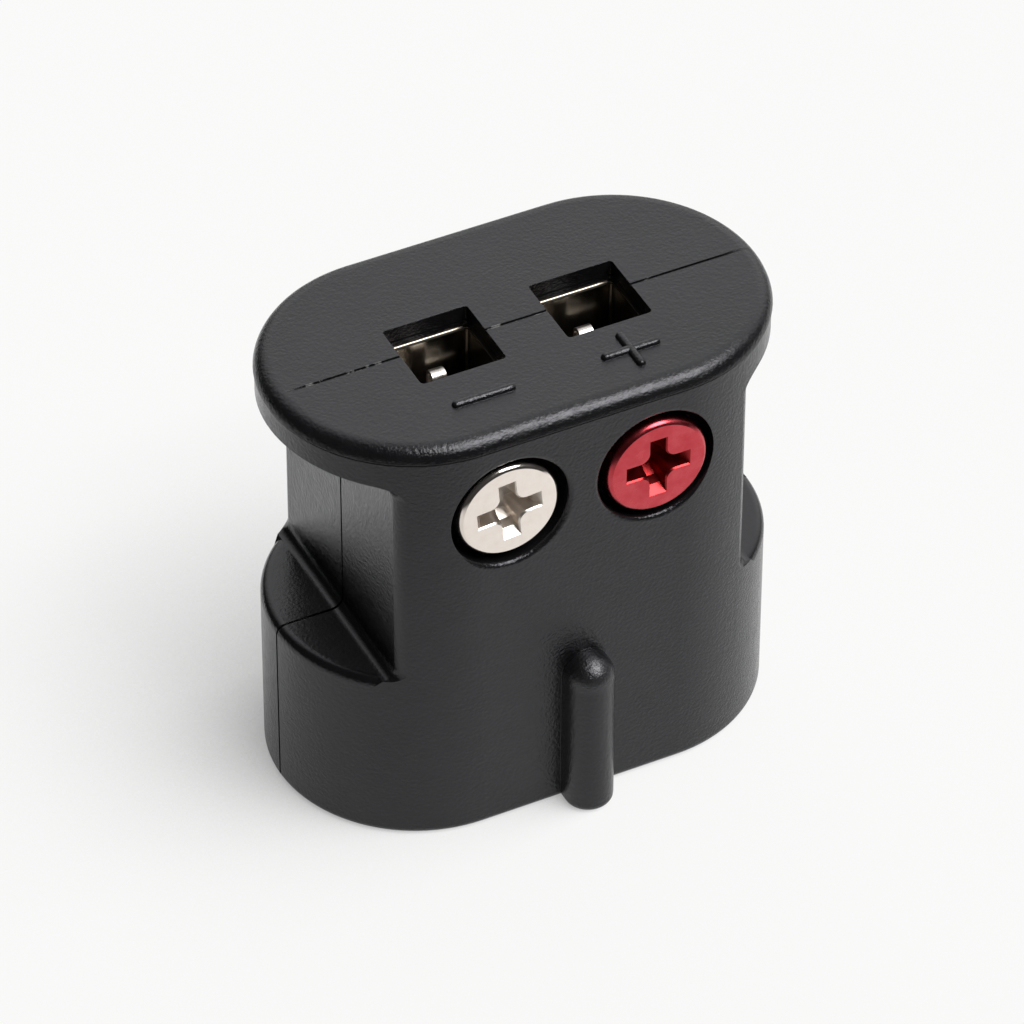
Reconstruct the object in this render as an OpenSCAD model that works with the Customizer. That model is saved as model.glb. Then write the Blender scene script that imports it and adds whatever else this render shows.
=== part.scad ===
/* [Housing] */
// Length of the stadium-shaped skirt
body_l = 38; // [37:0.5:44]
// Width across the two flat faces
body_w = 22.2; // [21.4:0.1:26]
// Height from the base rim to the top face
body_h = 36.1; // [35:0.1:42]
// Wall thickness of the open skirt
wall_t = 1.9; // [1.4:0.1:2.6]
// Offset of the split plane from the middle of the width
split_y = -0.3; // [-0.6:0.1:0.6]
// Radius of the rounded top edge
top_edge_r = 1.3; // [0.6:0.1:1.6]
// Height of the top lip
lip_h = 1.1; // [1:0.05:1.6]
// Overhang of the top lip over the side walls
lip_step = 0.1; // [0.05:0.05:0.3]
// Radius of the base edge
base_edge_r = 0.6; // [0.2:0.05:0.8]
// Width of the parting groove in each half
seam_w = 0.1; // [0.04:0.01:0.2]
// Depth of the parting groove
seam_depth = 0.15; // [0.1:0.01:0.19]
// Length over which the parting groove fades out on the top face
seam_fade_l = 3; // [1:0.1:5]

/* [End scoops] */
// Distance between the flat end walls of the waist
waist_l = 27.5; // [26.8:0.1:30]
// Height of the ledge above the base
ledge_z = 14.7; // [12:0.1:16]
// Rounded outer edge of the ledge
ledge_edge_r = 0.75; // [0.3:0.05:1.2]
// Fillet between the ledge and the end wall
ledge_fillet_r = 0.9; // [0.4:0.1:1.5]
// Run-out of that fillet through the rounded edge of the ledge
ledge_run = 0.6; // [0.3:0.05:1]
// Thickness of the top flange at its rim
flange_t = 3; // [2.4:0.1:4]
// Fall of the flange's underside towards the waist, in degrees
flange_slope = 5; // [0:0.5:8]
// Fillet between the flange and the end wall
flange_fillet_r = 1.3; // [0.6:0.1:2]
// Rounding of the waist's upright corners
waist_corner_r = 1.5; // [0.4:0.1:1.8]

/* [Wire entries] */
// Distance between the two terminals
terminal_pitch = 11.4; // [10.4:0.1:12.4]
// Length of a wire entry along the housing
entry_w = 6.6; // [5.6:0.1:7]
// Width of a wire entry across the housing
entry_d = 6.4; // [6:0.1:7]
// Centre of the wire entries across the width
entry_y = -0.5; // [-0.7:0.1:-0.3]
// Corner radius of a wire entry
entry_corner_r = 0.3; // [0.15:0.05:0.6]
// Thickness of the plastic above the terminal cages
top_t = 1.7; // [1.2:0.1:2.2]

/* [Polarity marks] */
// Length of the raised minus bar
minus_mark_l = 4.9; // [3:0.1:5]
// Length of the plus mark's long bar
plus_mark_l = 4.6; // [3:0.1:5]
// Length of the plus mark's cross bar
mark_cross_l = 3.9; // [3:0.1:4.4]
// Width of a raised bar
mark_w = 0.7; // [0.4:0.05:0.9]
// Distance of the marks from the front flat face
mark_inset = 4.35; // [4:0.05:4.6]

/* [Key rib] */
// Width of the key rib
rib_w = 3.7; // [3:0.1:5]
// Reach of the key rib from the front flat face
rib_reach = 2.6; // [2.5:0.05:3.5]
// Offset of the key rib from the middle of the length
rib_x = 0.15; // [-0.4:0.05:0.4]
// Top of the key rib above the base
rib_h = 13.7; // [10:0.1:17]
// Rounding of the key rib's foot
rib_foot_r = 0.6; // [0.2:0.1:1]

/* [Clamp screws] */
// Distance of the screw axes below the top face
screw_drop = 7.3; // [7:0.1:8]
// Outer radius of the screw thread
screw_r = 1.95; // [1.7:0.05:2.1]
// Radius of the screw head
head_r = 3.95; // [3.4:0.05:4.1]
// Thickness of the screw head
head_t = 2.4; // [2.2:0.1:2.6]
// Chamfer round the flat face of the head
head_chamfer = 0.35; // [0.1:0.05:0.5]
// Depth of the minus screw's face below the flat face of the housing
minus_sink = 0.25; // [-0.2:0.05:0.4]
// Depth of the plus screw's face below the flat face of the housing
plus_sink = -0.15; // [-0.2:0.05:0.4]
// Turn of the minus screw's cross recess, in degrees
minus_turn = -5; // [-45:1:45]
// Turn of the plus screw's cross recess, in degrees
plus_turn = 0; // [-45:1:45]
// Length of the cross recess from wing tip to wing tip
recess_span = 5; // [3.6:0.1:5.4]
// Width of a recess wing at the face
recess_wing_w = 1.25; // [0.8:0.05:1.5]
// Depth of the cross recess
recess_depth = 2; // [1.4:0.1:2.4]
// Size of the recess at its floor, as a share of its size at the face
recess_end = 0.5; // [0.3:0.05:0.8]
// Rounding between neighbouring wings
recess_corner_r = 0.75; // [0.4:0.05:1]
// Radius of the counterbore round the head
bore_r = 4.55; // [4.4:0.05:4.8]
// Rounding at the mouth of the counterbore
bore_edge_r = 0.35; // [0.1:0.05:0.5]
// Depth of the counterbore below the flat face
bore_depth = 4.1; // [4:0.1:4.4]

/* [Terminals] */
// Thickness of the folded cage sheet
cage_t = 0.5; // [0.4:0.05:0.6]
// Clear depth inside the cage, front to back
cage_d = 5.25; // [5.1:0.05:5.4]
// Reach of the cage's back wall into the wire entry
cage_lip = 0.2; // [0.1:0.05:0.3]
// Coined edge on the rim of the cage's back wall
cage_rim_edge = 0.15; // [0.05:0.05:0.25]
// Inner radius of the cage's folds
cage_fold_r = 0.3; // [0.15:0.05:0.5]
// Width across the flats of the square nut
nut_w = 7; // [6:0.1:7.4]
// Thickness of the square nut
nut_t = 2.2; // [1.8:0.1:2.4]
// Thickness of the leaf's sheet
leaf_t = 0.28; // [0.2:0.02:0.3]
// Overall thickness of the folded leaf
leaf_d = 1.2; // [1.1:0.05:1.3]
// Width of the leaf's fold
leaf_fold_w = 1.1; // [0.8:0.1:2]
// Width of the leaf's pressure plate
leaf_w = 5.9; // [4:0.1:6]
// Height of the leaf's fold above the screw axis
leaf_rise = 4.1; // [3.6:0.1:4.6]
// Gap between the leaf and the cage's back wall with the screw's face flush
wire_gap = 1.4; // [1.2:0.05:1.6]
// Radius of the groove behind the screw's button tip
neck_r = 1.2; // [0.8:0.05:1.4]

/* [Contacts] */
// Distance between the two contact pins
pin_pitch = 19.05; // [18.6:0.05:20]
// Radius of a contact pin
pin_r = 2; // [1.6:0.05:2.1]
// Rounding of the pin's tip
pin_tip_r = 1.2; // [0.6:0.1:1.5]
// Height of the pin tips above the base
pin_lift = 1.5; // [0.8:0.1:3]
// Width of the slots that split the pin
pin_slot_w = 0.5; // [0.3:0.05:0.6]
// Length of the slots that split the pin
pin_slot_l = 6; // [4:0.5:6]
// Radius of the pin's shoulder in the floor
shoulder_r = 2.3; // [2.2:0.05:2.4]
// Radius of the pin's collar
collar_r = 2.7; // [2.5:0.05:2.9]
// Thickness of the pin's collar
collar_t = 0.8; // [0.6:0.1:1]
// Radius of the pin's stud
stud_r = 1.5; // [1.2:0.05:1.6]
// Thickness of the riveted head on the stud
rivet_t = 0.6; // [0.4:0.1:0.8]
// Thickness of the contact strip
strip_t = 0.8; // [0.5:0.05:1]
// Width of the contact strip
strip_w = 4.8; // [4.4:0.1:5]
// Thickness of the ledge over the socket cavity
ledge_t = 1.5; // [1.2:0.1:2]
// Thickness of the floor that carries the pin collars
bulkhead_t = 1.8; // [1.4:0.1:2.2]
// Thickness of the floor between the strips and the cages
floor_t = 3.6; // [2:0.1:4]

/* [Fits] */
// Clearance round pieces that lie in the housing
seat_gap = 0.05; // [0.03:0.01:0.1]
// Radial clearance of turning pieces
turn_gap = 0.05; // [0.03:0.01:0.1]
// Free play between the leaf and the screw's button tip
leaf_play = 0.07; // [0.05:0.01:0.08]
// Clearance of the holes that the screws pass
pass_gap = 0.35; // [0.3:0.05:0.5]
// Radius of the locating pegs between the halves
peg_r = 1.1; // [0.8:0.1:1.3]
// Length of the locating pegs
peg_l = 2.5; // [1.5:0.1:3]

/* [Hidden] */
$fn = 64;

// Small overlap that keeps cuts open
bit = 0.1;
// Small overshoot that keeps a rounding clear of tangent faces
overshoot = 0.02;
body_r = body_w / 2;
half_span = body_l / 2 - body_r;
front_y = -body_r;
reach = body_l + body_w;
waist_x = waist_l / 2;
lip_z = body_h - lip_h;
upper_z = ledge_z - ledge_edge_r;
flange_rim_z = body_h - flange_t;
fillet_x = waist_x + flange_fillet_r;
fillet_z = flange_under_z(fillet_x) - flange_fillet_r / cos(flange_slope);
foot_x = waist_x + ledge_fillet_r;
foot_fillet_z = ledge_z + ledge_fillet_r;
top_flat_x = body_l / 2 - top_edge_r;

minus_x = -terminal_pitch / 2;
plus_x = terminal_pitch / 2;
screw_z = body_h - screw_drop;

cavity_r = body_r - wall_t;
cavity_z = ledge_z - ledge_t;
collar_z = cavity_z + bulkhead_t;
foot_z = collar_z + collar_t;
rivet_z = foot_z + strip_t;
cage_z = rivet_z + floor_t;
cage_top_z = body_h - top_t - seat_gap;

cage_back_y = entry_y + entry_d / 2 - cage_lip;
cage_front_y = cage_back_y - cage_d;
nut_y = cage_front_y - cage_t - nut_t;
strip_y = cage_back_y + cage_t;
strip_top_z = screw_z + nut_w / 2;
bore_floor_y = front_y + bore_depth;
leaf_reach = cage_back_y - wire_gap - front_y;
leaf_gap = leaf_d - 2 * leaf_t;
leaf_top_z = screw_z + leaf_rise;
leaf_plate_h = screw_r + pass_gap;

pin_y = split_y;
pin_x = pin_pitch / 2;

housing_colour = [0.09, 0.09, 0.1];
nickel_colour = [0.78, 0.75, 0.71];
red_colour = [0.7, 0.1, 0.13];
brass_colour = [0.8, 0.66, 0.36];

function flange_under_z(x) = flange_rim_z - (body_l / 2 - x) * tan(flange_slope);

// Sweep of a radial profile round a stadium
module stadium_sweep() {
    for (side = [0, 1]) {
        mirror([side, 0, 0])
            translate([half_span, 0, 0])
                rotate([0, 0, -90])
                    rotate_extrude(angle = 180)
                        children();
    }
    rotate([90, 0, 90])
        linear_extrude(2 * half_span, center = true) {
            children();
            mirror([1, 0])
                children();
        }
}

// Profile in the length and height plane, extruded across the width
module across(y_low, y_high) {
    translate([0, y_high, 0])
        rotate([90, 0, 0])
            linear_extrude(y_high - y_low)
                children();
}

// Round bar along the width
module bar_along_y(x, y_low, y_high, z, r) {
    translate([x, y_low, z])
        rotate([-90, 0, 0])
            cylinder(h = y_high - y_low, r = r);
}

// Block given by its low and high corners
module block(low, high) {
    translate(low)
        cube(high - low);
}

module rounded_rect(w, d, r) {
    square([w - 2 * r, d], center = true);
    square([w, d - 2 * r], center = true);
    for (sx = [-1, 1], sy = [-1, 1]) {
        translate([sx * (w / 2 - r), sy * (d / 2 - r)])
            circle(r);
    }
}

// Waste beyond a rounded corner whose tip is at the origin, pointing to +X +Y
module edge_waste(r) {
    difference() {
        translate([-r, -r])
            square(2 * r);
        translate([-r, -r])
            circle(r);
    }
}

module skirt_profile(inset) {
    difference() {
        translate([0, inset])
            square([body_r - inset, ledge_z - 2 * inset]);
        translate([body_r - inset, ledge_z - inset])
            edge_waste(ledge_edge_r - inset);
        translate([body_r - inset, inset])
            mirror([0, 1])
                edge_waste(base_edge_r - inset);
    }
}

module upper_profile(inset) {
    translate([0, upper_z])
        square([body_r - inset, lip_z - upper_z]);
    difference() {
        translate([0, lip_z])
            square([body_r + lip_step - inset, lip_h - inset]);
        translate([body_r + lip_step - inset, body_h - inset])
            edge_waste(top_edge_r - inset);
    }
}

// Foot of the waist at the +X end: fillet onto the ledge with its run-out
module foot_profile(inset) {
    share = ledge_fillet_r / ledge_edge_r / 4;
    inner_x = foot_x - ledge_run * share;
    difference() {
        polygon([
            [waist_x - inset - bit, upper_z - 2 * bit],
            [foot_x + ledge_run, upper_z - 2 * bit],
            [foot_x + ledge_run, upper_z - inset],
            [inner_x, ledge_z - inset + ledge_edge_r * share],
            [inner_x, foot_fillet_z],
            [waist_x - inset - bit, foot_fillet_z]
        ]);
        translate([foot_x, foot_fillet_z])
            circle(ledge_fillet_r + inset);
    }
}

// Cut beside the waist at the +X end, with the flange's sloping underside and the fillets
module scoop_profile(inset) {
    wall_x = waist_x - inset;
    rise = inset / cos(flange_slope);
    r = flange_fillet_r + inset;
    centre = [fillet_x, fillet_z];
    tangent = centre + (r + bit) * [-sin(flange_slope), cos(flange_slope)];
    difference() {
        polygon([
            [wall_x, upper_z - bit],
            [reach, upper_z - bit],
            [reach, flange_under_z(reach) + rise],
            [wall_x, flange_under_z(wall_x) + rise]
        ]);
        difference() {
            polygon([
                centre,
                [wall_x - bit, centre[1]],
                [wall_x - bit, tangent[1]],
                tangent
            ]);
            translate(centre)
                circle(r);
        }
        foot_profile(inset);
    }
}

// Waste beyond the rounded upright corner of the waist at +X and -Y
module waist_corner_waste() {
    wall_x = waist_x + overshoot;
    face_r = body_r + overshoot;
    run = wall_x - waist_corner_r - half_span;
    inner_r = face_r - waist_corner_r;
    centre = [wall_x - waist_corner_r, -sqrt(inner_r * inner_r - run * run)];
    wall_point = centre + [waist_corner_r, 0];
    face_point = [half_span, 0] + (centre - [half_span, 0]) * face_r / inner_r;
    difference() {
        polygon([centre, wall_point, wall_point + face_point - centre, face_point]);
        translate(centre)
            circle(waist_corner_r);
    }
}

// Turn of the corner's waste about a fillet's axis, from the end wall upwards
module corner_run_out(axis_x, turn) {
    rotate([90, 0, 180])
        rotate_extrude(angle = turn)
            intersection() {
                mirror([1, 0])
                    translate([-axis_x, 0])
                        waist_corner_waste();
                translate([bit, -reach])
                    square(reach);
            }
}

// Cut that rounds one upright corner and runs out along both fillets
module waist_corner_cut() {
    translate([0, 0, foot_fillet_z])
        linear_extrude(fillet_z - foot_fillet_z)
            waist_corner_waste();
    translate([fillet_x, 0, fillet_z])
        corner_run_out(fillet_x, 90 - flange_slope);
    translate([foot_x, 0, foot_fillet_z])
        mirror([0, 0, 1])
            corner_run_out(foot_x, 90);
}

// Outline of the housing on the split plane
module split_outline(inset) {
    for (side = [0, 1]) {
        mirror([side, 0]) {
            translate([half_span, 0])
                skirt_profile(inset);
            translate([0, inset])
                square([half_span, body_h - 2 * inset]);
            difference() {
                translate([half_span, 0])
                    upper_profile(inset);
                scoop_profile(inset);
            }
        }
    }
}

// Outer form of the housing without the rib and the marks
module housing_form() {
    stadium_sweep()
        skirt_profile(0);
    difference() {
        stadium_sweep()
            upper_profile(0);
        for (side = [0, 1]) {
            mirror([side, 0, 0])
                across(-reach, reach)
                    scoop_profile(0);
        }
        for (sx = [0, 1], sy = [0, 1]) {
            mirror([sx, 0, 0])
                mirror([0, sy, 0])
                    waist_corner_cut();
        }
    }
}

// Closed part of the parting line: the groove fades out before the rounded top edge
module closed_seam() {
    under_z = flange_under_z(top_flat_x) - bit;
    for (side = [0, 1]) {
        mirror([side, 0])
            polygon([
                [top_flat_x, under_z],
                [reach, under_z],
                [reach, body_h + 2 * bit],
                [top_flat_x, body_h + 2 * bit],
                [top_flat_x, body_h],
                [top_flat_x - seam_fade_l, body_h - seam_depth - bit]
            ]);
    }
}

module seam_groove() {
    across(split_y - seam_w, split_y + seam_w)
        difference() {
            translate([-reach, -bit])
                square([2 * reach, body_h + 2 * bit]);
            split_outline(seam_depth);
            closed_seam();
        }
}

module socket_cavity() {
    translate([0, 0, -bit])
        stadium_sweep()
            square([cavity_r, cavity_z + bit]);
}

// Room for one terminal: cage, nut, screw and wire entry
module terminal_room(x) {
    cage_mid_y = (cage_front_y + cage_back_y) / 2;
    translate([x, cage_mid_y, cage_z])
        linear_extrude(cage_top_z + seat_gap - cage_z)
            rounded_rect(
                entry_w + 2 * cage_t + 2 * seat_gap,
                cage_d + 2 * cage_t + 2 * seat_gap,
                cage_fold_r + cage_t
            );
    translate([x, entry_y, cage_top_z - bit])
        linear_extrude(body_h - cage_top_z + 2 * bit)
            rounded_rect(entry_w, entry_d, entry_corner_r);
    block(
        [x - nut_w / 2 - seat_gap, nut_y - seat_gap, screw_z - nut_w / 2 - seat_gap],
        [x + nut_w / 2 + seat_gap, cage_front_y, screw_z + nut_w / 2 + seat_gap]
    );
    bar_along_y(x, front_y - bit, cage_front_y, screw_z, screw_r + pass_gap);
    bar_along_y(x, front_y - bit, bore_floor_y, screw_z, bore_r);
    translate([x, front_y, screw_z])
        rotate([90, 0, 0])
            rotate_extrude()
                translate([bore_r, 0])
                    mirror([1, 0])
                        edge_waste(bore_edge_r);
}

// Room for one contact: pin bore, collar seat, strip slot and rivet
module contact_room(x, px) {
    translate([px, pin_y, cavity_z - bit])
        cylinder(h = bulkhead_t + 2 * bit, r = shoulder_r + seat_gap);
    translate([px, pin_y, collar_z])
        cylinder(h = collar_t + bit, r = collar_r + seat_gap);
    translate([px, pin_y, rivet_z])
        cylinder(h = rivet_t + seat_gap, r = stud_r + rivet_t + seat_gap);
    strip_form(x, px, seat_gap);
}

// Folded strip from the cage's back wall to the pin, grown by a clearance
module strip_form(x, px, grow) {
    leg_low_x = x - strip_w / 2 - grow;
    leg_high_x = x + strip_w / 2 + grow;
    foot_low_x = px - strip_w / 2 - grow;
    foot_high_x = px + strip_w / 2 + grow;
    back_y = strip_y + strip_t + grow;
    block([leg_low_x, strip_y, foot_z], [leg_high_x, back_y, strip_top_z + grow]);
    block(
        [min(leg_low_x, foot_low_x), strip_y, foot_z],
        [max(leg_high_x, foot_high_x), back_y, rivet_z + grow]
    );
    block([foot_low_x, pin_y - strip_w / 2 - grow, foot_z], [foot_high_x, back_y, rivet_z + grow]);
}

module key_rib() {
    r = rib_w / 2;
    axis_y = front_y - rib_reach + r;
    dome_z = rib_h - r;
    translate([rib_x, axis_y, 0])
        rotate_extrude()
            difference() {
                square([r, dome_z]);
                translate([r, 0])
                    mirror([0, 1])
                        edge_waste(rib_foot_r);
            }
    translate([rib_x, axis_y, dome_z])
        sphere(r);
    translate([rib_x, 0, 0])
        across(axis_y, front_y + wall_t / 2) {
            translate([0, dome_z])
                circle(r);
            difference() {
                translate([-r, 0])
                    square([2 * r, dome_z]);
                for (side = [0, 1]) {
                    mirror([side, 0])
                        translate([r, 0])
                            mirror([0, 1])
                                edge_waste(rib_foot_r);
                }
            }
        }
}

// Raised half-round bar on the top face
module mark_bar(l) {
    straight = l - mark_w;
    rotate([0, 90, 0])
        cylinder(h = straight, d = mark_w, center = true);
    for (side = [-1, 1]) {
        translate([side * straight / 2, 0, 0])
            sphere(d = mark_w);
    }
}

module polarity_marks() {
    mark_y = front_y + mark_inset;
    translate([minus_x, mark_y, body_h])
        mark_bar(minus_mark_l);
    translate([plus_x, mark_y, body_h]) {
        mark_bar(plus_mark_l);
        rotate([0, 0, 90])
            mark_bar(mark_cross_l);
    }
}

// Places of the locating pegs, in the length and height plane
function peg_places() = [
    [0, screw_z], [0, foot_z],
    [-(waist_x + terminal_pitch / 2 + entry_w / 2 + cage_t) / 2, screw_z],
    [(waist_x + terminal_pitch / 2 + entry_w / 2 + cage_t) / 2, screw_z]
];

module locating_pegs(r, l) {
    for (place = peg_places()) {
        bar_along_y(place[0], split_y - bit, split_y + l, place[1], r);
    }
}

module rooms() {
    socket_cavity();
    terminal_room(minus_x);
    terminal_room(plus_x);
    contact_room(minus_x, -pin_x);
    contact_room(plus_x, pin_x);
    seam_groove();
}

module front_shell() {
    color(housing_colour) {
        difference() {
            union() {
                intersection() {
                    housing_form();
                    block([-reach, -reach, -reach], [reach, split_y, reach]);
                }
                key_rib();
                polarity_marks();
            }
            rooms();
        }
        locating_pegs(peg_r, peg_l);
    }
}

module back_shell() {
    color(housing_colour)
        difference() {
            intersection() {
                housing_form();
                block([-reach, split_y, -reach], [reach, reach, reach]);
            }
            rooms();
            locating_pegs(peg_r + seat_gap, peg_l + seat_gap);
        }
}

// Outline of the cross recess at the face of a screw
module recess_outline() {
    half = recess_wing_w / 2 + recess_corner_r;
    square([recess_span, recess_wing_w], center = true);
    square([recess_wing_w, recess_span], center = true);
    difference() {
        square(2 * half, center = true);
        for (sx = [-1, 1], sy = [-1, 1]) {
            translate([sx * half, sy * half])
                circle(recess_corner_r, $fn = 24);
        }
    }
}

// Screw along +Z with the middle of its flat face at the origin
module screw_form() {
    tip_z = leaf_reach - leaf_t - leaf_play;
    button_z = leaf_reach - leaf_t - leaf_gap + leaf_play;
    neck_z = leaf_reach - leaf_d - leaf_play;
    difference() {
        rotate_extrude()
            polygon([
                [0, 0],
                [head_r - head_chamfer, 0],
                [head_r, head_chamfer],
                [head_r, head_t],
                [screw_r, head_t],
                [screw_r, neck_z],
                [neck_r, neck_z],
                [neck_r, button_z],
                [screw_r, button_z],
                [screw_r, tip_z],
                [0, tip_z]
            ]);
        translate([0, 0, -bit])
            linear_extrude(bit + bit)
                recess_outline();
        linear_extrude(recess_depth, scale = recess_end)
            recess_outline();
    }
}

module clamp_screw(x, sink, turn, colour) {
    color(colour)
        translate([x, front_y + sink, screw_z])
            rotate([-90, 0, 0])
                rotate([0, 0, turn])
                    screw_form();
}

// Folded leaf: pressure plate at the back, slotted plate at the front, narrow fold on top
module wire_leaf(x, sink) {
    back_y = front_y + sink + leaf_reach;
    front_plate_w = 2 * screw_r + pass_gap;
    plate_top_z = screw_z + leaf_plate_h;
    plate_low_z = screw_z - leaf_plate_h;
    slot_r = neck_r + turn_gap;
    color(nickel_colour) {
        block([x - leaf_w / 2, back_y - leaf_t, plate_low_z], [x + leaf_w / 2, back_y, plate_top_z]);
        difference() {
            block(
                [x - front_plate_w / 2, back_y - leaf_d, plate_low_z],
                [x + front_plate_w / 2, back_y - leaf_d + leaf_t, plate_top_z]
            );
            bar_along_y(x, back_y - 2 * leaf_d, back_y - leaf_t, screw_z, slot_r);
            block(
                [x - slot_r, back_y - 2 * leaf_d, plate_low_z - bit],
                [x + slot_r, back_y - leaf_t - bit, screw_z]
            );
        }
        translate([x - leaf_fold_w / 2, back_y - leaf_d / 2, 0])
            rotate([90, 0, 90])
                linear_extrude(leaf_fold_w)
                    leaf_fold_profile(plate_top_z - bit);
    }
}

module leaf_fold_profile(low_z) {
    bend_r = leaf_d / 2;
    bend_z = leaf_top_z - bend_r;
    difference() {
        union() {
            translate([0, bend_z])
                circle(bend_r);
            translate([-bend_r, low_z])
                square([leaf_d, bend_z - low_z]);
        }
        translate([0, bend_z])
            circle(bend_r - leaf_t);
        translate([leaf_t - bend_r, low_z - bit])
            square([leaf_gap, bend_z - low_z + bit]);
    }
}

module clamp_nut(x) {
    color(nickel_colour)
        difference() {
            block(
                [x - nut_w / 2, nut_y, screw_z - nut_w / 2],
                [x + nut_w / 2, nut_y + nut_t, screw_z + nut_w / 2]
            );
            bar_along_y(x, nut_y - bit, nut_y + nut_t + bit, screw_z, screw_r + turn_gap);
        }
}

module terminal_cage(x) {
    mid_y = (cage_front_y + cage_back_y) / 2;
    color(nickel_colour)
        difference() {
            translate([x, mid_y, cage_z])
                linear_extrude(cage_top_z - cage_z)
                    difference() {
                        rounded_rect(entry_w + 2 * cage_t, cage_d + 2 * cage_t, cage_fold_r + cage_t);
                        rounded_rect(entry_w, cage_d, cage_fold_r);
                    }
            bar_along_y(x, cage_front_y - cage_t - bit, cage_front_y + bit, screw_z, screw_r + pass_gap);
            translate([x, 0, 0])
                rotate([90, 0, 90])
                    linear_extrude(entry_w - 2 * cage_fold_r, center = true)
                        polygon([
                            [cage_back_y - bit, cage_top_z - cage_rim_edge - bit],
                            [cage_back_y + cage_rim_edge + bit, cage_top_z + bit],
                            [cage_back_y - bit, cage_top_z + bit]
                        ]);
        }
}

module contact_strip(x, px) {
    color(brass_colour)
        difference() {
            strip_form(x, px, 0);
            translate([px, pin_y, foot_z - bit])
                cylinder(h = strip_t + 2 * bit, r = stud_r + turn_gap);
        }
}

module contact_pin(px) {
    slot_top_z = pin_lift + pin_slot_l;
    color(brass_colour)
        translate([px, pin_y, 0])
            difference() {
                rotate_extrude()
                    difference() {
                        union() {
                            translate([0, pin_lift])
                                square([pin_r, cavity_z + bit - pin_lift]);
                            translate([0, cavity_z])
                                square([shoulder_r, bulkhead_t + bit]);
                            translate([0, collar_z])
                                square([collar_r, collar_t]);
                            translate([0, foot_z - bit])
                                square([stud_r, strip_t + bit]);
                            translate([0, rivet_z])
                                square([stud_r + rivet_t, rivet_t]);
                        }
                        translate([pin_r, pin_lift])
                            mirror([0, 1])
                                edge_waste(pin_tip_r);
                    }
                for (turn = [0, 90]) {
                    rotate([0, 0, turn])
                        block([-pin_r - bit, -pin_slot_w / 2, 0], [pin_r + bit, pin_slot_w / 2, slot_top_z]);
                }
            }
}

module minus_clamp_screw() { clamp_screw(minus_x, minus_sink, minus_turn, nickel_colour); }
module minus_wire_leaf() { wire_leaf(minus_x, minus_sink); }
module minus_clamp_nut() { clamp_nut(minus_x); }
module minus_terminal_cage() { terminal_cage(minus_x); }
module minus_contact_strip() { contact_strip(minus_x, -pin_x); }
module minus_contact_pin() { contact_pin(-pin_x); }
module plus_clamp_screw() { clamp_screw(plus_x, plus_sink, plus_turn, red_colour); }
module plus_wire_leaf() { wire_leaf(plus_x, plus_sink); }
module plus_clamp_nut() { clamp_nut(plus_x); }
module plus_terminal_cage() { terminal_cage(plus_x); }
module plus_contact_strip() { contact_strip(plus_x, pin_x); }
module plus_contact_pin() { contact_pin(pin_x); }

front_shell();
back_shell();
minus_clamp_screw();
minus_wire_leaf();
minus_clamp_nut();
minus_terminal_cage();
minus_contact_strip();
minus_contact_pin();
plus_clamp_screw();
plus_wire_leaf();
plus_clamp_nut();
plus_terminal_cage();
plus_contact_strip();
plus_contact_pin();
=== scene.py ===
import math

import bmesh
import bpy
from mathutils import Matrix, Vector


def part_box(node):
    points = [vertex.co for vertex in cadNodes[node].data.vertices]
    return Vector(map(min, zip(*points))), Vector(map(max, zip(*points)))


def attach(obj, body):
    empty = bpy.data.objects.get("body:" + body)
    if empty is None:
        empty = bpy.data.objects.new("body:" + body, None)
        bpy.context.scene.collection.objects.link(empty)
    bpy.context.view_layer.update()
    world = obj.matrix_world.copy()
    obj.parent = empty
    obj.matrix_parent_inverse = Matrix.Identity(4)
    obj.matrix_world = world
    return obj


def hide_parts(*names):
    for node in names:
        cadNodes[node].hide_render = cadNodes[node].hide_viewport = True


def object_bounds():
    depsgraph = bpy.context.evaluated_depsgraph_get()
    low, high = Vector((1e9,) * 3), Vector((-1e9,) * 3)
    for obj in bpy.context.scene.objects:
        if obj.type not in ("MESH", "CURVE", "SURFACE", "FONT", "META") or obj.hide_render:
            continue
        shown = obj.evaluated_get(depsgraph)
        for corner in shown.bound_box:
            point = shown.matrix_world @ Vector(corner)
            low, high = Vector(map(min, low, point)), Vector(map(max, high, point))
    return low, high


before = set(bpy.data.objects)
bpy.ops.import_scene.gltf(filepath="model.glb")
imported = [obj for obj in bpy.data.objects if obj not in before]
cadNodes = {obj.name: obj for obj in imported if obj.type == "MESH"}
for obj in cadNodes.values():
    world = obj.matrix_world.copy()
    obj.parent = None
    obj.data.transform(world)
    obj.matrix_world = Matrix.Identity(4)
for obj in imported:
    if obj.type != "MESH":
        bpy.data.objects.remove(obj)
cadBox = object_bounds()
mm = 0.001
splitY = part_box("back_shell")[0].y    # plane where the two halves meet
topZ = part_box("back_shell")[1].z    # top face of the housing
print("frame loaded:", len(cadNodes), "pieces")


def addNode(tree, kind, values=None, **settings):
    made = tree.nodes.new(kind)
    for key, value in settings.items():
        setattr(made, key, value)
    for key, value in (values or {}).items():
        made.inputs[key].default_value = value
    return made


def startMaterial(name, shaderValues):
    material = bpy.data.materials.new(name)
    material.use_nodes = True
    tree = material.node_tree
    shader = tree.nodes["Principled BSDF"]
    for key, value in shaderValues.items():
        shader.inputs[key].default_value = value
    place = addNode(tree, "ShaderNodeTexCoord").outputs["Object"]
    return material, tree, shader, place


def splitParts(tree, vector):
    parts = addNode(tree, "ShaderNodeSeparateXYZ")
    tree.links.new(vector, parts.inputs["Vector"])
    return parts.outputs


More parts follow.
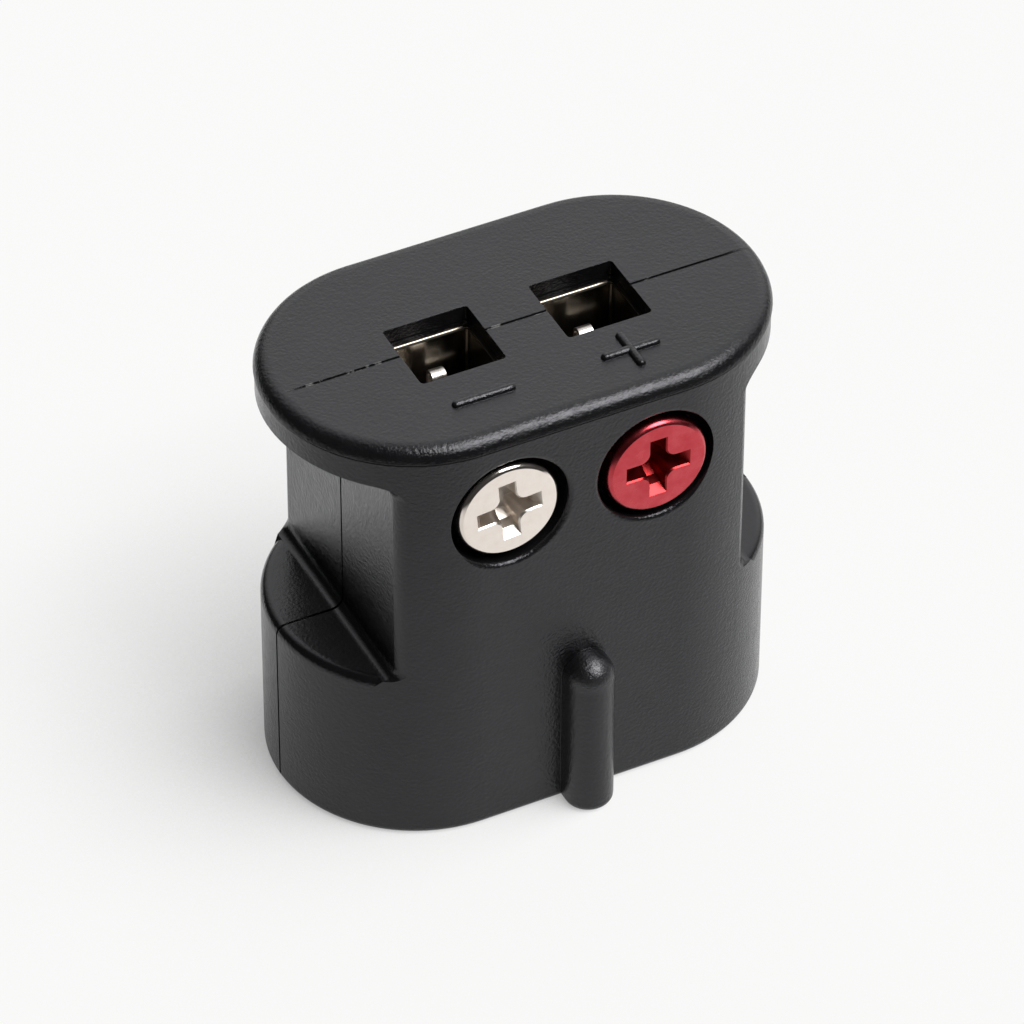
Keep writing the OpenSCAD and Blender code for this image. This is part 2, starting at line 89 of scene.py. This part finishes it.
def addNoise(tree, place, size, detail=2.0, roughness=0.5, stretch=None):
    if stretch:
        drawn = addNode(tree, "ShaderNodeMapping", {"Scale": stretch})
        tree.links.new(place, drawn.inputs["Vector"])
        place = drawn.outputs["Vector"]
    noise = addNode(tree, "ShaderNodeTexNoise", {
        "Scale": 1 / size, "Detail": detail, "Roughness": roughness})
    tree.links.new(place, noise.inputs["Vector"])
    return noise.outputs["Fac"]


def addRange(tree, source, low, high, fromLow=0.3, fromHigh=0.7, curve="LINEAR"):
    spread = addNode(tree, "ShaderNodeMapRange", {
        "From Min": fromLow, "From Max": fromHigh, "To Min": low, "To Max": high}, interpolation_type=curve)
    tree.links.new(source, spread.inputs["Value"])
    return spread.outputs["Result"]


def addBump(tree, height, depth, strength, under=None):
    bump = addNode(tree, "ShaderNodeBump", {"Distance": depth})
    if isinstance(strength, (int, float)):
        bump.inputs["Strength"].default_value = strength
    else:
        tree.links.new(strength, bump.inputs["Strength"])
    tree.links.new(height, bump.inputs["Height"])
    if under:
        tree.links.new(under, bump.inputs["Normal"])
    return bump.outputs["Normal"]


def addMath(tree, operation, first, second):
    made = addNode(tree, "ShaderNodeMath", operation=operation)
    for socket, value in zip(made.inputs, (first, second)):
        if isinstance(value, (int, float)):
            socket.default_value = value
        else:
            tree.links.new(value, socket)
    return made.outputs["Value"]


def addAway(tree, value, level):
    # distance to a level, on either side of it
    return addMath(tree, "ABSOLUTE", addMath(tree, "SUBTRACT", value, level), 0)


def addMix(tree, share, first, second):
    mix = addNode(tree, "ShaderNodeMix", data_type="RGBA")
    tree.links.new(share, mix.inputs["Factor"])
    for socket, colour in ((mix.inputs["A"], first), (mix.inputs["B"], second)):
        if isinstance(colour, tuple):
            socket.default_value = (*colour, 1)
        else:
            tree.links.new(colour, socket)
    return mix.outputs["Result"]


# moulded housing
plasticLook = {
    "dark": (0.0050, 0.0050, 0.0056),
    "light": (0.0075, 0.0075, 0.0083),
    "toneSize": 2.5 * mm,
    "tint": (0.95, 0.95, 1.0),
    "gloss": 0.5,
    "smooth": 0.17,
    "rough": 0.25,
    "patchSize": 0.9 * mm,
    "edgeRadius": 0.07 * mm,
    "edgeSamples": 4,
    "waveSize": 6 * mm,
    "waveDepth": 0.05 * mm,
    "waveStrength": 0.5,
    "grainSize": 0.24 * mm,
    "grainDepth": 0.06 * mm,
    "grainStrength": 1.0,
    "ledgeGrain": 0.3,    # grain strength on the ledges
    "ledgeTop": 25 * mm,
    "ledgeStart": 12 * mm,
    "ledgeFacing": (0.2, 0.7),    # upward share of the normal, from none to full
    "seamMiddle": 0.4 * mm,
    "seamEnd": 18 * mm,
    "seamFade": 1.5 * mm,
    # pale colour of the seam's flash: painted glints on its ridges
    "flashAndGlint": (0.60, 0.60, 0.58),
    "flashWidth": 0.16 * mm,
    "flashSize": 0.7 * mm,
    "flashLow": 0.54,
    "flashHigh": 0.64,
    "flashDepth": 0.08 * mm,
    "flashStrength": 0.8,
    "flashReach": 0.3 * mm,    # down from the top face
    "flashStop": 10 * mm,
    "flashEnd": 13 * mm,
    "lipHeight": 1.1 * mm,
    "lineWidth": 0.11 * mm,
    "lineFade": 1.4,    # end of the seam's painted shade line, times the width
    "lipCore": 0.7,    # full part of the painted shade line under the lip
    # specular level of the painted shade lines
    "shadeLineGloss": 0.08,
    "ribFront": -11.3 * mm,
    "domeFoot": 11.5 * mm,
    "domeStart": 12.5 * mm,
    "domeRough": 0.36,
    "domeGloss": 0.4,    # added to the gloss
}


def makeGrainedPlastic(look):
    material, tree, shader, place = startMaterial("grainedPlastic", {
        "IOR": 1.5, "Specular Tint": (*look["tint"], 1)})
    parts = splitParts(tree, place)
    facing = splitParts(tree, addNode(tree, "ShaderNodeNewGeometry").outputs["True Normal"])
    edges = addNode(tree, "ShaderNodeBevel", {"Radius": look["edgeRadius"]}, samples=look["edgeSamples"])
    wave = addNoise(tree, place, look["waveSize"], detail=1)
    normal = addBump(tree, wave, look["waveDepth"], look["waveStrength"], edges.outputs["Normal"])

    # fine grain, calmer on the ledges
    aside = addMath(tree, "ABSOLUTE", parts["X"], 0)
    low = addMath(tree, "LESS_THAN", parts["Z"], look["ledgeTop"])
    low = addMath(tree, "MULTIPLY", low, addMath(tree, "GREATER_THAN", aside, look["ledgeStart"]))
    onLedge = addMath(tree, "MULTIPLY", addRange(tree, facing["Z"], 0, 1, *look["ledgeFacing"]), low)
    strength = addRange(tree, onLedge, look["grainStrength"], look["ledgeGrain"], 0, 1)
    grain = addNoise(tree, place, look["grainSize"], detail=3, roughness=0.6)
    normal = addBump(tree, grain, look["grainDepth"], strength, normal)

    # flash along the parting line on the top face, in broken runs: real flash as bumps, with its pale colour
    # as painted glints
    onTop = addMath(tree, "GREATER_THAN", parts["Z"], topZ - look["flashReach"])
    along = addAway(tree, parts["X"], look["seamMiddle"])
    inside = addRange(tree, along, 1, 0, look["seamEnd"] - look["seamFade"], look["seamEnd"])
    onSeam = addMath(tree, "MULTIPLY", onTop, inside)
    away = addAway(tree, parts["Y"], splitY)
    near = addRange(tree, away, 1, 0, 0, look["flashWidth"])
    cloud = addNoise(tree, place, look["flashSize"], detail=4)
    runs = addRange(tree, cloud, 0, 1, look["flashLow"], look["flashHigh"])
    stop = addRange(tree, parts["X"], 1, 0, look["flashStop"], look["flashEnd"])
    runs = addMath(tree, "MULTIPLY", runs, stop)
    flashAndGlint = addMath(tree, "MULTIPLY", addMath(tree, "MULTIPLY", near, runs), onSeam)
    normal = addBump(tree, flashAndGlint, look["flashDepth"], look["flashStrength"], normal)
    tone = addRange(tree, addNoise(tree, place, look["toneSize"], detail=4), 0, 1)
    colour = addMix(tree, flashAndGlint, addMix(tree, tone, look["dark"], look["light"]), look["flashAndGlint"])

    # rougher dome of the key rib, with a raised specular level that widens and brightens its highlight
    onRib = addMath(tree, "LESS_THAN", parts["Y"], look["ribFront"])
    onDome = addRange(tree, parts["Z"], 0, 1, look["domeFoot"], look["domeStart"])
    onDome = addMath(tree, "MULTIPLY", onRib, onDome)
    patch = addNoise(tree, place, look["patchSize"], detail=3)
    polish = addMath(tree, "MAXIMUM", addRange(tree, patch, look["smooth"], look["rough"]),
                     addMath(tree, "MULTIPLY", onDome, look["domeRough"]))

    # painted shade lines: specular lowered in the parting groove and under the lip's overhang, where shade
    # falls
    width = look["lineWidth"]
    seamShade = addRange(tree, away, 1, 0, width, look["lineFade"] * width)
    drop = addAway(tree, parts["Z"], topZ - look["lipHeight"] - width)
    lipShade = addRange(tree, drop, 1, 0, look["lipCore"] * width, width)
    shadeLines = addMath(tree, "MAXIMUM", addMath(tree, "MULTIPLY", seamShade, onSeam), lipShade)
    shadeLines = addMath(tree, "SUBTRACT", shadeLines, flashAndGlint)
    gloss = addMath(tree, "ADD", addRange(tree, shadeLines, look["gloss"], look["shadeLineGloss"], 0, 1),
                    addMath(tree, "MULTIPLY", onDome, look["domeGloss"]))
    tree.links.new(colour, shader.inputs["Base Color"])
    tree.links.new(polish, shader.inputs["Roughness"])
    tree.links.new(gloss, shader.inputs["Specular IOR Level"])
    tree.links.new(normal, shader.inputs["Normal"])
    return material


# plated and coated metal
metalLooks = {
    "nickel": {"shadeLines": (0.89, 0.80, 0.725), "bright": (0.96, 0.88, 0.81), "smooth": 0.10, "rough": 0.20,
               "stretch": (1, 1, 1), "size": 0.9 * mm, "depth": 0.002 * mm},
    "leafNickel": {"shadeLines": (0.50, 0.47, 0.43), "bright": (0.72, 0.68, 0.64), "smooth": 0.26, "rough": 0.42,
                   "stretch": (8, 1, 1), "size": 0.9 * mm, "depth": 0.004 * mm},
    # darker copy of the nickel for the cages deep in the wire entries: painted shade
    "cageNickelShade": {"shadeLines": (0.28, 0.247, 0.202), "bright": (0.37, 0.328, 0.272), "smooth": 0.19, "rough": 0.25,
                   "stretch": (4, 4, 1), "size": 3 * mm, "depth": 0.0008 * mm,
                   "rimZ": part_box("minus_terminal_cage")[1].z - 0.13 * mm, "rimBand": 0.07 * mm,
                   # dark colour of the rim's painted shade band
                   "rimShadeColour": (0.04, 0.036, 0.030), "rimRough": 0.6},
    "redCoat": {"shadeLines": (0.53, 0.052, 0.065), "bright": (0.63, 0.088, 0.105), "smooth": 0.22, "rough": 0.30,
                "stretch": (1, 1, 1), "size": 0.9 * mm, "depth": 0.002 * mm},
    # darker copies of the screw finishes for inside the recesses: painted shade
    "nickelRecessShade": {"shadeLines": (0.70, 0.64, 0.58), "bright": (0.86, 0.80, 0.74), "smooth": 0.30, "rough": 0.42,
                     "stretch": (1, 1, 1), "size": 0.9 * mm, "depth": 0.002 * mm},
    "redRecessShade": {"shadeLines": (0.34, 0.024, 0.026), "bright": (0.46, 0.038, 0.040), "smooth": 0.30, "rough": 0.40,
                  "stretch": (1, 1, 1), "size": 0.9 * mm, "depth": 0.002 * mm},
    "brass": {"shadeLines": (0.62, 0.45, 0.20), "bright": (0.80, 0.62, 0.32), "smooth": 0.18, "rough": 0.32,
              "stretch": (1, 1, 6), "size": 1.5 * mm, "depth": 0.003 * mm},
}
metalShared = {
    "edgeRadius": 0.04 * mm,
    "edgeSamples": 4,
    "fineShare": 8,    # the fine noise is this many times smaller
    "fineStrength": 0.35,
    "rimFade": 1.15,    # end of the rim's painted shade band, times its width
}


def makeMetal(name):
    look = {**metalShared, **metalLooks[name]}
    material, tree, shader, place = startMaterial(name, {"Metallic": 1})
    edges = addNode(tree, "ShaderNodeBevel", {"Radius": look["edgeRadius"]}, samples=look["edgeSamples"])
    cloud = addNoise(tree, place, look["size"], detail=5, stretch=look["stretch"])
    fine = addNoise(tree, place, look["size"] / look["fineShare"], detail=3, stretch=look["stretch"])
    normal = addBump(tree, fine, look["depth"], look["fineStrength"], edges.outputs["Normal"])
    colour = addMix(tree, addRange(tree, cloud, 0, 1), look["shadeLines"], look["bright"])
    polish = addRange(tree, cloud, look["smooth"], look["rough"])
    if "rimZ" in look:
        # painted shade: a dark, rough band over the rim's chamfer below its crest, leaving a thin highlight at
        # the crest
        away = addAway(tree, splitParts(tree, place)["Z"], look["rimZ"])
        rimShadeBand = addRange(tree, away, 1, 0, look["rimBand"], look["rimFade"] * look["rimBand"])
        colour = addMix(tree, rimShadeBand, colour, look["rimShadeColour"])
        polish = addMath(tree, "MAXIMUM", polish, addMath(tree, "MULTIPLY", rimShadeBand, look["rimRough"]))
    tree.links.new(colour, shader.inputs["Base Color"])
    tree.links.new(polish, shader.inputs["Roughness"])
    tree.links.new(normal, shader.inputs["Normal"])
    return material


plastic = makeGrainedPlastic(plasticLook)
metals = {name: makeMetal(name) for name in metalLooks}
nodeFinish = {    # by the ending of the node's name
    "front_shell": plastic,
    "back_shell": plastic,
    "wire_leaf": metals["leafNickel"],
    "clamp_nut": metals["nickel"],
    "terminal_cage": metals["cageNickelShade"],
    "contact_strip": metals["brass"],
    "contact_pin": metals["brass"],
}
for name, piece in cadNodes.items():
    for ending, material in nodeFinish.items():
        if name.endswith(ending):
            piece.data.materials.clear()
            piece.data.materials.append(material)
print("finishes made:", len(metals) + 1)


# clamp screws with a flared cross recess and a wound thread
screwSpec = {
    "minus": {"finish": "nickel", "shank": "nickel", "recess": "nickelRecessShade", "slot": "nickel", "turn": -5},
    "plus": {"finish": "redCoat", "shank": "nickel", "recess": "redRecessShade", "slot": "red_lacquer", "turn": 0},
}
screwShape = {
    "around": 128,
    "headThickness": 2.4 * mm,
    "bevelWidth": 0.34 * mm,
    "bevelDepth": 0.5 * mm,
    "bevelStart": 20,    # arc of the bevel, in degrees
    "bevelEnd": 85,
    "bevelSteps": 6,
    "coreRadius": 1.5 * mm,
    "threadRadius": 1.95 * mm,
    "threadPitch": 0.7 * mm,
    "threadSteps": 48,    # in each turn
    "threadLap": 0.3 * mm,    # start of the thread inside the head
    "neckRadius": 1.2 * mm,
    "neckLength": 0.42 * mm,
    "buttonLength": 0.5 * mm,
    "wingWidth": 1.2 * mm,
    "recessSpan": 4.85 * mm,
    "cornerRadius": 0.75 * mm,
    "recessShare": 0.7,    # of the head's radius, round the whole recess
    "skin": 0.01 * mm,    # margin when faces are told apart
}
recessLevels = (    # depth in mm, then growth in mm and share of the wing's width, span and corner
    (0.0, 0.18, 1.0, 1.0, 1.0),
    (0.12, 0.0, 1.0, 1.0, 1.0),
    (0.67, 0.0, 0.94, 0.84, 0.95),
    (1.4, 0.0, 0.84, 0.765, 0.75),
    (2.1, 0.0, 0.7, 0.56, 0.5),
)


def addChain(mesh, points):
    chain = [mesh.verts.new((radius, along, 0)) for radius, along in points]
    return chain + [mesh.edges.new(pair) for pair in zip(chain, chain[1:])]


def spinProfile(mesh, points, steps):
    bmesh.ops.spin(mesh, geom=addChain(mesh, points), cent=(0, 0, 0), axis=(0, 1, 0), dvec=(0, 0, 0),
                   angle=math.tau, steps=steps, use_merge=True, use_duplicate=False)


def bevelProfile(headRadius, shape):
    first, last = math.radians(shape["bevelStart"]), math.radians(shape["bevelEnd"])
    points = []
    for step in range(shape["bevelSteps"] + 1):
        angle = first + (last - first) * step / shape["bevelSteps"]
        inward = (math.sin(last) - math.sin(angle)) / (math.sin(last) - math.sin(first))
        sunk = (math.cos(first) - math.cos(angle)) / (math.cos(first) - math.cos(last))
        points.append((headRadius - shape["bevelWidth"] * inward, shape["bevelDepth"] * sunk))
    return points


def crossLoop(mesh, wing, span, corner, depth):
    # a square whose four sides are drawn out into wings
    square = bmesh.ops.create_grid(mesh, x_segments=1, y_segments=1, size=wing / 2)["verts"]
    bmesh.ops.rotate(mesh, verts=square, cent=(0, 0, 0), matrix=Matrix.Rotation(math.radians(90), 3, "X"))
    centre = square[0].link_faces[0]
    wings = [centre]
    for side in list(centre.edges):
        outward = (side.verts[0].co + side.verts[1].co).normalized() * (span - wing) / 2
        grown = bmesh.ops.extrude_edge_only(mesh, edges=[side])["geom"]
        tips = [part for part in grown if isinstance(part, bmesh.types.BMVert)]
        bmesh.ops.translate(mesh, verts=tips, vec=outward)
        wings += [part for part in grown if isinstance(part, bmesh.types.BMFace)]
    cross = bmesh.ops.dissolve_faces(mesh, faces=wings)["region"][0]
    inner = [point for point in cross.verts if point.co.length < wing]
    rounded = bmesh.ops.bevel(mesh, geom=inner, offset=corner, offset_type="OFFSET", segments=10,
                              profile=0.5, affect="VERTICES", material=-1)
    face = rounded["verts"][0].link_faces[0]
    bmesh.ops.translate(mesh, verts=list(face.verts), vec=(0, depth, 0))
    loop = list(face.edges)
    bmesh.ops.delete(mesh, geom=[face], context="FACES_ONLY")
    return loop


def sinkRecess(mesh, faceRim, shape):
    loops = []
    for depth, grow, wingShare, spanShare, cornerShare in recessLevels:
        loops.append(crossLoop(mesh, shape["wingWidth"] * wingShare + grow * mm,
                               shape["recessSpan"] * spanShare + grow * mm,
                               shape["cornerRadius"] * cornerShare, depth * mm))
    bmesh.ops.triangle_fill(mesh, edges=faceRim + loops[0], use_beauty=True, normal=(0, -1, 0))
    for upper, lower in zip(loops, loops[1:]):
        bmesh.ops.bridge_loops(mesh, edges=upper + lower)
    bmesh.ops.triangle_fill(mesh, edges=loops[-1], use_beauty=True, normal=(0, -1, 0))


def windThread(mesh, shape, start, end):
    core, crest, pitch = shape["coreRadius"], shape["threadRadius"], shape["threadPitch"]
    tooth = [(core, 0.05), (crest, 0.45), (crest, 0.55), (core, 0.95)]    # radius and share of the pitch
    turns = (end - start) / pitch - 1
    points = [(radius, start + share * pitch) for radius, share in tooth]
    bmesh.ops.spin(mesh, geom=addChain(mesh, points), cent=(0, 0, 0), axis=(0, 1, 0),
                   dvec=(0, pitch / shape["threadSteps"], 0), angle=math.tau * turns,
                   steps=int(shape["threadSteps"] * turns), use_merge=False, use_duplicate=False)


def finishPiece(name, mesh, finishes, body, sharpAngle=20):
    data = bpy.data.meshes.new(name)
    mesh.to_mesh(data)
    mesh.free()
    for material in finishes:
        data.materials.append(material)
    data.polygons.foreach_set("use_smooth", [True] * len(data.polygons))
    data.set_sharp_from_angle(angle=math.radians(sharpAngle))
    piece = bpy.data.objects.new(name, data)
    bpy.context.scene.collection.objects.link(piece)
    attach(piece, body)
    return piece


def buildClampScrew(side):
    spec, shape = screwSpec[side], screwShape
    nodeName = side + "_clamp_screw"
    low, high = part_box(nodeName)
    headRadius = (high.x - low.x) / 2
    tip = high.y - low.y
    button = tip - shape["buttonLength"]
    neck = button - shape["neckLength"]
    head = shape["headThickness"]
    mesh = bmesh.new()
    spinProfile(mesh, bevelProfile(headRadius, shape) + [
        (headRadius, head),
        (shape["coreRadius"], head),
        (shape["coreRadius"], neck),
        (shape["neckRadius"], neck),
        (shape["neckRadius"], button),
        (shape["threadRadius"], button),
        (shape["threadRadius"], tip),
        (0, tip),
    ], shape["around"])
    bmesh.ops.remove_doubles(mesh, verts=mesh.verts, dist=0.001 * mm)
    faceRim = [edge for edge in mesh.edges if edge.is_boundary]
    sinkRecess(mesh, faceRim, shape)
    bmesh.ops.recalc_face_normals(mesh, faces=mesh.faces)
    windThread(mesh, shape, head - shape["threadLap"], neck)
    for face in mesh.faces:
        centre = face.calc_center_median()
        inner = math.hypot(centre.x, centre.z) < shape["recessShare"] * headRadius
        if centre.y > head - shape["skin"]:
            face.material_index = 1    # shank
        elif centre.y > shape["skin"] and inner:
            face.material_index = 2    # inside of the recess, in a darker copy of the finish as painted shade
    bmesh.ops.rotate(mesh, verts=mesh.verts, cent=(0, 0, 0),
                     matrix=Matrix.Rotation(math.radians(spec["turn"]), 3, "Y"))
    middle = (low + high) / 2
    bmesh.ops.translate(mesh, verts=mesh.verts, vec=(middle.x, low.y, middle.z))
    finishes = (metals[spec["finish"]], metals[spec["shank"]], metals[spec["recess"]])
    piece = finishPiece(side + "ClampScrew", mesh, finishes, side + "_screw")
    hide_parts(nodeName)
    return piece


for side in screwSpec:
    made = buildClampScrew(side)
    print(made.name, len(made.data.polygons), "faces")


# pale paper floor in a dim room
roomLevel = 0.04
floorLook = {
    "size": 4.0,
    "drop": 0.03 * mm,
    "colour": (0.85, 0.85, 0.845),
    "glow": (0.945, 0.945, 0.94),
    "glowShare": 0.9,
    "shadeFrom": (0.72, -0.58, 0.38),
    "shadeReach": 34 * mm,
    "shadeSamples": 8,
    "shadeLow": 0.2,
    "shadeHigh": 0.9,
    "shadeDark": 0.3,
    "mirrorLow": 0.72,    # strength of the paper in reflections
    "mirrorHigh": 1.03,
    "mirrorLeft": -25 * mm,
    "mirrorRight": 40 * mm,
    "mirrorFront": 5 * mm,
    "mirrorBack": 25 * mm,
    "fadeNear": 100 * mm,    # from the middle outwards
    "fadeFar": 250 * mm,
    "frontNear": -50 * mm,    # towards the front
    "frontFar": -160 * mm,
}


def makePalePaper(look):
    material, tree, shader, place = startMaterial("palePaper", {
        "Base Color": (*look["colour"], 1), "Roughness": 0.9, "Specular IOR Level": 0.1})
    parts = splitParts(tree, place)
    paths = addNode(tree, "ShaderNodeLightPath").outputs
    glossy = paths["Is Glossy Ray"]
    seen = addMath(tree, "MAXIMUM", paths["Is Camera Ray"], glossy)
    seen = addMath(tree, "MAXIMUM", seen, paths["Is Transmission Ray"])

    # soft shadow on the side away from the lamp
    tilt = addNode(tree, "ShaderNodeVectorMath", {0: look["shadeFrom"]}, operation="NORMALIZE")
    shade = addNode(tree, "ShaderNodeAmbientOcclusion", {"Distance": look["shadeReach"]},
                    samples=look["shadeSamples"])
    tree.links.new(tilt.outputs["Vector"], shade.inputs["Normal"])
    level = addRange(tree, shade.outputs["AO"], look["shadeDark"], 1, look["shadeLow"], look["shadeHigh"],
                     "SMOOTHSTEP")

    # reflections show the paper paler to the right and behind
    right = addRange(tree, parts["X"], look["mirrorLow"], look["mirrorHigh"],
                     look["mirrorLeft"], look["mirrorRight"])
    behind = addRange(tree, parts["Y"], look["mirrorLow"], look["mirrorHigh"],
                      look["mirrorFront"], look["mirrorBack"])
    mirror = addMath(tree, "SUBTRACT", addMath(tree, "MAXIMUM", right, behind), 1)
    dim = addMath(tree, "ADD", addMath(tree, "MULTIPLY", mirror, glossy), 1)
    glow = addNode(tree, "ShaderNodeEmission", {"Color": (*look["glow"], 1)})
    tree.links.new(addMath(tree, "MULTIPLY", level, dim), glow.inputs["Strength"])
    paper = addNode(tree, "ShaderNodeMixShader")
    tree.links.new(addMath(tree, "MULTIPLY", seen, look["glowShare"]), paper.inputs["Fac"])
    tree.links.new(shader.outputs["BSDF"], paper.inputs[1])
    tree.links.new(glow.outputs["Emission"], paper.inputs[2])

    # the lit paper ends some way off in reflections
    length = addNode(tree, "ShaderNodeVectorMath", operation="LENGTH")
    tree.links.new(place, length.inputs[0])
    far = addRange(tree, length.outputs["Value"], 0, 1, look["fadeNear"], look["fadeFar"])
    front = addRange(tree, parts["Y"], 0, 1, look["frontNear"], look["frontFar"])
    far = addMath(tree, "MAXIMUM", far, front)
    room = addNode(tree, "ShaderNodeEmission", {"Strength": roomLevel})
    blend = addNode(tree, "ShaderNodeMixShader")
    tree.links.new(addMath(tree, "MULTIPLY", far, glossy), blend.inputs["Fac"])
    tree.links.new(paper.outputs["Shader"], blend.inputs[1])
    tree.links.new(room.outputs["Emission"], blend.inputs[2])
    tree.links.new(blend.outputs["Shader"], tree.nodes["Material Output"].inputs["Surface"])
    return material


def buildFloor(look):
    mesh = bmesh.new()
    made = bmesh.ops.create_grid(mesh, x_segments=1, y_segments=1, size=look["size"] / 2)
    bmesh.ops.translate(mesh, verts=made["verts"], vec=(0, 0, cadBox[0].z - look["drop"]))
    data = bpy.data.meshes.new("paleFloor")
    mesh.to_mesh(data)
    mesh.free()
    data.materials.append(makePalePaper(look))
    floor = bpy.data.objects.new("paleFloor", data)
    bpy.context.scene.collection.objects.link(floor)


# soft lamp in front, wide bright field above and behind
lightLook = {
    "keyStrength": 3.0,
    "keyAngle": 36,
    "keyFrom": (0.34, -0.42, 0.84),
    "skyFrom": (0.50, 0.60, 0.62),
    "skyNear": 0.95,
    "skyFar": 0.45,
    "skyLevel": 1.15,
}


def buildLight(look):
    lamp = bpy.data.lights.new("softKey", "SUN")
    lamp.energy = look["keyStrength"]
    lamp.angle = math.radians(look["keyAngle"])
    key = bpy.data.objects.new("softKey", lamp)
    key.rotation_euler = Vector(look["keyFrom"]).to_track_quat("Z", "Y").to_euler()
    bpy.context.scene.collection.objects.link(key)
    world = bpy.data.worlds.new("softRoom")
    bpy.context.scene.world = world
    world.use_nodes = True
    tree = world.node_tree
    facing = addNode(tree, "ShaderNodeVectorMath", {1: Vector(look["skyFrom"]).normalized()},
                     operation="DOT_PRODUCT")
    tree.links.new(addNode(tree, "ShaderNodeTexCoord").outputs["Generated"], facing.inputs[0])
    field = addRange(tree, facing.outputs["Value"], roomLevel, look["skyLevel"], look["skyFar"],
                     look["skyNear"], "SMOOTHSTEP")
    background = tree.nodes["Background"]
    background.inputs["Color"].default_value = (1, 1, 1, 1)
    tree.links.new(field, background.inputs["Strength"])


cameraSpec = {
    "yaw": -26.544,
    "pitch": 41.057,
    "roll": 0.172,
    "distance": 504.911 * mm,
    "across": -0.0726 * mm,
    "above": 13.5963 * mm,
    "lens": 241.451,
    "sensor": 36,
}


def buildCamera(spec):
    lens = bpy.data.cameras.new("camera")
    lens.lens = spec["lens"]
    lens.sensor_width = spec["sensor"]
    camera = bpy.data.objects.new("camera", lens)
    turn = (Matrix.Rotation(math.radians(spec["yaw"]), 3, "Z")
            @ Matrix.Rotation(math.radians(90 - spec["pitch"]), 3, "X")
            @ Matrix.Rotation(math.radians(spec["roll"]), 3, "Z"))
    camera.rotation_euler = turn.to_euler()
    camera.location = turn @ Vector((spec["across"], spec["above"], spec["distance"]))
    bpy.context.scene.collection.objects.link(camera)
    bpy.context.scene.camera = camera


buildFloor(floorLook)
buildLight(lightLook)
buildCamera(cameraSpec)
bpy.context.scene.view_settings.view_transform = "Standard"
print("stage set")
